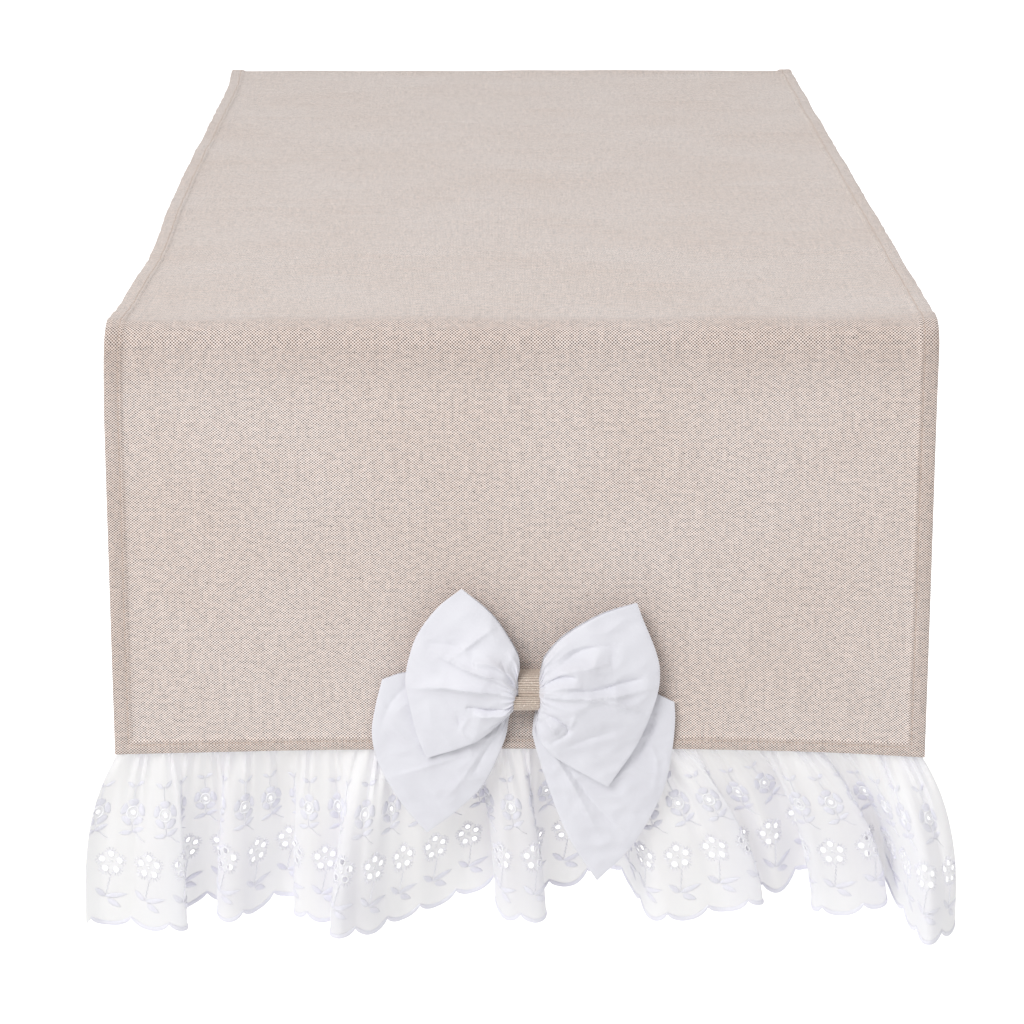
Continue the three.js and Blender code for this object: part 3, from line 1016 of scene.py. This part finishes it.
def loop_sheet(edges, hand):
    """The outline of a loop filled with a grid: rows from the waist to the fold, columns down it."""
    start = {"left": -1, "right": 1}[hand] * WAIST_END * 1000
    high = (start, 9.4)
    low = (start, -5.6)
    upper, _ = curve_through([high] + edges["upper"], LOOP_ROWS)
    lower, _ = curve_through([low] + edges["lower"], LOOP_ROWS)
    fold, _ = curve_through([edges["upper"][-1]] + edges["fold"] + [edges["lower"][-1]], LOOP_COLUMNS)
    p = np.linspace(0, 1, LOOP_ROWS)[:, None, None]
    q = np.linspace(0, 1, LOOP_COLUMNS)[None, :, None]
    waist = np.array(high) * (1 - q) + np.array(low) * q
    ruled = upper[:, None] * (1 - q) + lower[:, None] * q + waist * (1 - p) + fold[None] * p
    corners = (1 - p) * ((1 - q) * high + q * np.array(low)) + p * ((1 - q) * upper[-1] + q * lower[-1])
    return (ruled - corners) / 1000


# How high and wide the creases and pleats stand, in millimetres or as multiples of the plan
CREASE_HEIGHT = 2.1
CREASE_WIDTH = 0.85
CRUMPLE = 0.45
FRONT_PLEAT = 2.2

# Folds and creases of each loop: height, width, then where the crest runs, in millimetres from the
# waist's middle. A negative height is a groove.
CREASES = {
    ("front", "left"): [
        (1.9, 2.4, [(-8, 1.5), (-20, 5), (-32, 6.2), (-48, 6.4), (-68, 3.5)]),
        (1.7, 2.0, [(-7, 5), (-15, 12.9), (-29.6, 16.7), (-38.7, 20), (-54, 27)]),
        (1.2, 2.2, [(-43, 22), (-25, 35.8), (-17, 40)]),
        (2.4, 4.0, [(-6, 6), (-13, 17), (-20.5, 21.5), (-30, 21)]),
        (-1.6, 1.6, [(-6, 5), (-11, 14), (-15, 22)]),
        (-1.8, 1.7, [(-9, -5.5), (-20, -6.8), (-34, -5)]),
        (1.5, 2.6, [(-9, -8.5), (-22, -10), (-30, -9)]),
        (-1.5, 1.8, [(-9, -9), (-14, -14), (-20, -19)]),
        (0.8, 1.6, [(-33, -12), (-36, -20), (-29, -28)]),
        (-0.7, 1.2, [(-39, -9), (-37, -19)]),
        (-1.0, 5.0, [(-30, 28), (-45, 30), (-58, 31)]),
    ],
    ("front", "right"): [
        (1.9, 2.2, [(9, 2), (22, 2), (37, 1.4), (52, 1.4), (71, 4.6)]),
        (-1.8, 2.2, [(24, 6), (38, 4.5), (53, 7.5), (66, 10)]),
        (1.3, 1.8, [(34, 1.5), (48, -3), (64, -11)]),
        (2.2, 4.5, [(9, 8), (20, 16), (34, 18.5), (46, 20)]),
        (-1.4, 3.2, [(14, 16), (28, 26), (42, 29), (50, 26)]),
        (-1.5, 1.5, [(8, 7), (18, 13), (27, 13)]),
        (1.4, 2.4, [(9, 4), (18, 8), (30, 8)]),
        (-1.3, 1.5, [(9, -8), (18, -13), (22, -19.6), (12, -27)]),
        (1.6, 3.4, [(9, -11), (13, -16), (16, -20)]),
        (0.7, 1.3, [(26, -8), (23, -18)]),
        (-0.8, 4.0, [(20, -30), (34, -24), (48, -20)]),
    ],
    ("rear", "left"): [
        (0.7, 1.6, [(-30, -34), (-52, -42), (-80, -52)]),
        (-1.0, 2.5, [(-14, -20), (-24, -36), (-30, -48)]),
        (0.8, 3.0, [(-20, -24), (-36, -50), (-50, -68)]),
        (-0.7, 2.0, [(-66, 4), (-76, -8), (-82, -24)]),
    ],
    ("rear", "right"): [
        (-1.2, 3.0, [(70, -14), (68, -24), (60, -40)]),
        (0.9, 2.2, [(8, -24), (26, -56), (44, -92)]),
        (-0.7, 2.4, [(14, -30), (34, -62), (50, -80)]),
        (0.8, 1.8, [(66, -26), (72, -42), (70, -60)]),
    ],
}


def creased(x, z, creases):
    """Height of a loop's creases at a place in millimetres: sharp on each crest, soft beside it."""
    total = np.zeros_like(x)
    for height, width, places in creases:
        line, _ = curve_through(places, 40)
        gap = np.hypot(x[..., None] - line[:, 0], z[..., None] - line[:, 1])
        nearest = gap.argmin(-1)
        taper = np.sin(math.pi * np.clip(nearest / (len(line) - 1), 0.12, 1)) ** 0.6
        crest = np.exp(-(gap.min(-1) / (CREASE_WIDTH * width)) ** 1.05)
        total = total + CREASE_HEIGHT * height * crest * taper
    return total


def pleats(p, q, seed):
    """Sharp-crested pleats that fan out from the waist and die away at different distances."""
    chance = np.random.default_rng(seed)
    total = np.zeros(np.broadcast(p, q).shape)
    for place in np.linspace(0.05, 0.95, 10):
        centre = place + chance.uniform(-0.03, 0.03)
        length = chance.choice([0.22, 0.34, 0.55])
        height = chance.uniform(0.8, 1.6)
        drift = chance.uniform(-0.05, 0.05)
        width = 0.026 + 0.03 * p
        crest = np.abs(q - centre - drift * p) / width
        total = total + height * np.exp(-crest ** 1.4) * np.clip(1 - p / length, 0, 1) ** 0.8
    return total


def loop_depths(bow, sheet, creases, seed):
    """Depth of a loop's front layer and back layer off the linen's face."""
    p = np.linspace(0, 1, LOOP_ROWS)[:, None]
    q = np.linspace(0, 1, LOOP_COLUMNS)[None, :]
    swell = np.sin(math.pi * p ** 0.75) ** 0.9 * np.sin(math.pi * (0.06 + 0.88 * q)) ** 0.7
    lean = ripple(p, q, 0.9, 0.7, seed + 1)
    x, z = sheet[..., 0] * 1000, sheet[..., 1] * 1000
    crumple = CRUMPLE * (1 - 2 * np.abs(ripple(x, z, 30, 22, seed + 2))) * ramp(p, 0.02, 0.3)
    gathers = FRONT_PLEAT * pleats(p, q, seed) * (0.35 + 0.65 * ramp(p, 0, 0.08))
    front = bow["front"] + bow["puff"] * swell * (1 + 0.18 * lean) + gathers - 1.2 * ramp(p, 0, 1)
    front = front + crumple + creased(x, z, creases)
    back = bow["back"] - 0.9 * pleats(p, 1 - q, seed + 3) * 0.6 + 0.4 * swell
    closing = np.sqrt(np.clip(1 - p ** 7, 0, 1))
    fold_depth = (bow["front"] + bow["back"]) / 2 - 0.6
    edge = 1 - np.sin(math.pi * q) ** 0.35
    front = fold_depth + (front - fold_depth) * closing * (1 - 0.55 * edge * ramp(p, 0.05, 0.5))
    back = fold_depth + (back - fold_depth) * closing
    return front / 1000, back / 1000


def bow_cloth(end, place, bow, seed):
    """A closed band of cloth: along the front from one fold to the other, then along the back."""
    layers = []
    for hand, step in (("left", -1), ("right", 1)):
        sheet = loop_sheet(bow[hand], hand)
        front, back = loop_depths(bow, sheet, CREASES[place, hand], seed + 10 * step)
        for depth, order in ((front, step), (back, -step)):
            points = np.stack([sheet[..., 0], depth, sheet[..., 1]], axis=-1)
            layers.append(points[::order])
    left_front, left_back, right_front, right_back = layers
    band = np.concatenate([left_front, right_front, right_back[1:], left_back[:-1]])
    points = band.reshape(-1, 3) * (1, -1, 1) + (WAIST_X, -LINEN_FACE, WAIST_Z)
    faces = grid_faces(len(band), LOOP_COLUMNS, closed=True)
    return new_piece(f"bow_{place}_cotton_{end}", turned(points, end), faces)


def cotton_material():
    """Crisp bleached cotton percale: smooth and close, with a faint sheen and soft creases, and with
    painted shade in the creases' hollows.
    """
    material, shader = new_material("crisp_cotton")
    place = object_place(material)
    # Painted shade: the colour darkens where this noise is low, the hollows of the creases in the relief
    creases = noise(material, place, 55.0, 4.0, 0.6)
    colour = blend_colours(material, "MIX", creases, "DBDAE1", "EEEEF4")
    folds = noise(material, place, 24.0, 3.0, 0.4)
    lines = calculate(material, "ABSOLUTE", calculate(material, "SUBTRACT", folds, 0.5))
    lined = calculate(material, "SUBTRACT", creases, calculate(material, "MULTIPLY", lines, 3.0))
    weave = calculate(material, "MULTIPLY", noise(material, place, 1200.0), 0.12)
    return finish_material(
        material, shader, colour, calculate(material, "ADD", weave, lined), 0.5, 0.0012,
        Roughness=0.62, Specular_IOR_Level=0.35, Sheen_Weight=0.15,
    )


crisp_cotton = cotton_material()
for end in SIDES:
    for place, bow, seed in (("front", FRONT_BOW, 41), ("rear", REAR_BOW, 77)):
        cloth = bow_cloth(end, place, bow, seed)
        thicken(cloth, COTTON, 70)
        cloth.data.materials.append(crisp_cotton)
        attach(cloth, f"{end}_drop")
        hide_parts(f"bow_{place}_cloth_{end}")

# --- Ribbon round the waist -----------------------------------------------------------------------
# A narrow tan grosgrain ribbon with a fine glitter yarn. It is wound round both waists, its ribs
# running across it, and its end is lapped over the lower half of the front.

RIB_PITCH = 0.00124
RIB_HEIGHT = 0.0004
RIBBON = 0.0007
CORNER = 0.0045
BACK_CORNER = 0.0015


def ribbon_path(back, front, low, high):
    """A rounded rectangle as evenly spaced (depth, height) points."""
    corners = [(back, high, BACK_CORNER), (front, high, CORNER), (front, low, CORNER),
               (back, low, BACK_CORNER)]
    points = []
    for k, (depth, height, radius) in enumerate(corners):
        toward_depth = 1 if depth == back else -1
        toward_height = -1 if height == high else 1
        centre = (depth + toward_depth * radius, height + toward_height * radius)
        start = math.pi - k * math.pi / 2
        for a in np.linspace(start, start - math.pi / 2, 12):
            points.append((centre[0] + radius * math.cos(a), centre[1] + radius * math.sin(a)))
    points.append(points[0])
    points = np.array(points)
    run = distances(points)
    return places_at(np.linspace(0, run[-1], 160), run, points)


def ribbon_strip(path, width, middle, closed):
    """A ribbed strip along a path of (depth, height) points: its points and faces, its length, and how
    far up its rib each point is."""
    run = distances(path)
    ribs = round(run[-1] / RIB_PITCH)
    at = np.linspace(0, run[-1], ribs * 8 + 1)
    line = places_at(at, run, path)
    way = np.gradient(line, axis=0)
    if closed:
        way[0] = way[-1] = way[0] + way[-1]
    way = way / np.linalg.norm(way, axis=1, keepdims=True)
    out = np.column_stack([-way[:, 1], way[:, 0]])
    rib = RIB_HEIGHT * np.abs(np.cos(math.pi * at / run[-1] * ribs)) ** 0.8
    half = width / 2
    section = [(-half, 0.25), (-half + 0.0003, 1), (-half / 2, 1), (half / 2, 1), (half - 0.0003, 1),
               (half, 0.25), (half - 0.0003, 0), (-half + 0.0003, 0)]
    rows = []
    for x, share in section:
        raised = (RIBBON + rib) * share
        place = line + out * raised[:, None]
        rows.append(np.column_stack([np.full(len(at), middle + x), place]))
    points = np.stack(rows, axis=1)
    if closed:
        points = points[:-1]
    count, m = points.shape[:2]
    faces = tube_faces(count, m, closed)
    if not closed:
        faces += [tuple(range(m)), tuple((count - 1) * m + i for i in range(m - 1, -1, -1))]
    return points.reshape(-1, 3), faces, run[-1], np.repeat(rib[:count] / rib.max(), m)


def ribbon_material():
    """Woven grosgrain: tan, with painted shade darkening the grooves between its ribs, and a fine
    metallic yarn whose sparkle is painted as scattered pale glints."""
    material, shader = new_material("grosgrain_ribbon")
    place = object_place(material)
    mottle = noise(material, place, 1500.0, 2.0)
    yarn = blend_colours(material, "MIX", mottle, "BCA999", "EBDDD1")
    # Painted shade: the colour darkens to 8A7667 down in the grooves between the ribs
    colour = blend_colours(material, "MIX", attribute(material, "rib"), "8A7667", yarn)
    # Painted glints: scattered pale points in the colour, for the metallic yarn catching the light
    grain = add_node(material, "TexVoronoi", Vector=place, Scale=3000.0).outputs["Color"]
    bright = add_node(material, "SeparateColor", Color=grain).outputs[0]
    painted_glint = from_range(material, bright, 0.9, 0.96, 0.0, 0.7)
    colour = blend_colours(material, "MIX", painted_glint, colour, "FFFBEF")
    return finish_material(material, shader, colour, mottle, 0.4, 0.0002, Roughness=0.5)


grosgrain = ribbon_material()
ribbon_back = -waist_high.y - LINEN_FACE
ribbon_front = -waist_low.y - LINEN_FACE
WINDING_HIGH = 0.0108
WINDING_LOW = 0.0062
WINDING_LAP = 0.0016
WINDING_GROOVE = 0.0006
LAP_STANDS_OFF = 0.0005

# Width of each strip, and how far its middle is from the waist's
RING_STRIP = (0.0134, 0.0014)
LAP_STRIP = (0.0147, -0.0006)

# The windings are one ring with a groove between them in front, and the lap covers the lower one
around = ribbon_path(ribbon_back + RIBBON, ribbon_front - 2 * RIBBON, -WINDING_LOW, WINDING_HIGH)
groove = WINDING_GROOVE * bump_at(around[:, 1], WINDING_LAP, 0.0009) * (around[:, 0] > 0.01)
around[:, 0] = around[:, 0] - groove
ring, ring_faces, ring_length, ring_rib_shade_mask = ribbon_strip(around, *RING_STRIP, True)
over = RIBBON + LAP_STANDS_OFF
lap_path = ribbon_path(ribbon_back, ribbon_front - 2 * RIBBON + over, -WINDING_LOW - over, WINDING_HIGH)
lap_path = lap_path[(lap_path[:, 1] < WINDING_LAP - 0.0004) & (lap_path[:, 0] > ribbon_back + 0.004)]
lap, lap_faces, lap_length, lap_rib_shade_mask = ribbon_strip(lap_path, *LAP_STRIP, False)
ribbon_points, ribbon_faces = combined([(ring, ring_faces), (lap, lap_faces)])
ribbon_points = ribbon_points * (1, -1, 1) + (WAIST_X, -LINEN_FACE, WAIST_Z)
for end in SIDES:
    winding = new_piece(f"grosgrain_winding_{end}", turned(ribbon_points, end), ribbon_faces)
    # The rib heights steer the painted shade in the grooves between the ribs
    give_value(winding, "rib", np.concatenate([ring_rib_shade_mask, lap_rib_shade_mask]))
    outward(winding, merge=None)
    winding.data.materials.append(grosgrain)
    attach(winding, f"{end}_drop")
    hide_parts(f"waist_ribbon_{end}")

    # Hand stitches that hold the bow show on the linen's inner face
    tacks = []
    for name in ("upper", "lower"):
        low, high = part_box(f"tack_stitch_front_{name}")
        middle_z = (low.z + high.z) / 2
        for k in range(3):
            height = middle_z + (k - 1) * THREAD
            start = np.array([low.x, -TABLE_EDGE + 0.0002, height - 0.0008])
            finish = np.array([high.x, -TABLE_EDGE + 0.0002, height + 0.0008])
            tacks.append(stitch_row([start], [finish], [np.array([0.0, 1.0, 0.0])]))
    tack_points, tack_faces = combined(tacks)
    tack = thread_piece(f"bow_tack_stitches_{end}", turned(tack_points, end), tack_faces)
    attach(tack, f"{end}_drop")
    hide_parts(f"tack_stitch_{end}_upper", f"tack_stitch_{end}_lower")

# --- Studio ---------------------------------------------------------------------------------------
# A white sweep far below the cloth, a bright white surround, one broad soft lamp above and to the
# left, and a long lens a little above the table.

FLOOR_DEPTH = 0.75
BRIGHTEST_WAY = (0.0, 0.80, -0.60)
SURROUND_STRENGTH = (0.53, 1.10)
LAMP_SIZE = 2.4
LAMP_WATTS = 110
LAMP_PLACE = (-2.0, -3.7, 2.4)
LAMP_AIM = (0, -0.3, -0.1)
LENS_DROP = math.radians(15.63)
LENS_TURN = math.radians(0.30)
LENS_MILLIMETRES = 118.6
LENS_PLACE = (-0.0138, -TABLE_EDGE - 1.770, 0.392)


def sweep_material():
    """Matt white paint, lit from within so that it stays pale and even."""
    material, shader = new_material("white_sweep")
    mottle = noise(material, object_place(material), 2.0, 2.0)
    link(material, blend_colours(material, "MIX", mottle, "FCFCFC", "FFFFFF"), shader, "Base Color")
    shader.inputs["Roughness"].default_value = 1.0
    shader.inputs["Emission Color"].default_value = (1, 1, 1, 1)
    shader.inputs["Emission Strength"].default_value = 0.7
    return material


bpy.ops.object.select_all(action="DESELECT")
bpy.ops.mesh.primitive_plane_add(size=40, location=(0, 10, -FLOOR_DEPTH))
floor = bpy.context.object
floor.name = "studio_floor"
floor.data.materials.append(sweep_material())
floor.visible_diffuse = False

world = bpy.data.worlds.new("white_surround")
world.use_nodes = True
surround = world.node_tree.nodes["Background"]
surround.inputs["Color"].default_value = (1, 1, 1, 1)

# The surround is brightest behind and below the cloth, and dimmest in front and above
direction = add_node(world, "TexCoord").outputs["Generated"]
facing = add_node(world, "VectorMath", {"operation": "DOT_PRODUCT"}, i0=direction, i1=BRIGHTEST_WAY)
strength = from_range(world, facing.outputs["Value"], -1.0, 1.0, *SURROUND_STRENGTH)
link(world, strength, surround, "Strength")
bpy.context.scene.world = world

lamp_data = bpy.data.lights.new("soft_lamp", "AREA")
lamp_data.shape = "RECTANGLE"
lamp_data.size = LAMP_SIZE
lamp_data.size_y = LAMP_SIZE
lamp_data.energy = LAMP_WATTS
lamp = bpy.data.objects.new("soft_lamp", lamp_data)
lamp.location = LAMP_PLACE
lamp.rotation_euler = (Vector(LAMP_AIM) - lamp.location).to_track_quat("-Z", "Y").to_euler()
bpy.context.scene.collection.objects.link(lamp)

camera_data = bpy.data.cameras.new("long_lens")
camera_data.sensor_width = 36
camera_data.lens = LENS_MILLIMETRES
camera_data.clip_end = 100
camera = bpy.data.objects.new("long_lens", camera_data)
camera.location = LENS_PLACE
camera.rotation_euler = (math.pi / 2 - LENS_DROP, 0, -LENS_TURN)
bpy.context.scene.collection.objects.link(camera)
bpy.context.scene.camera = camera
bpy.context.scene.view_settings.view_transform = "Standard"
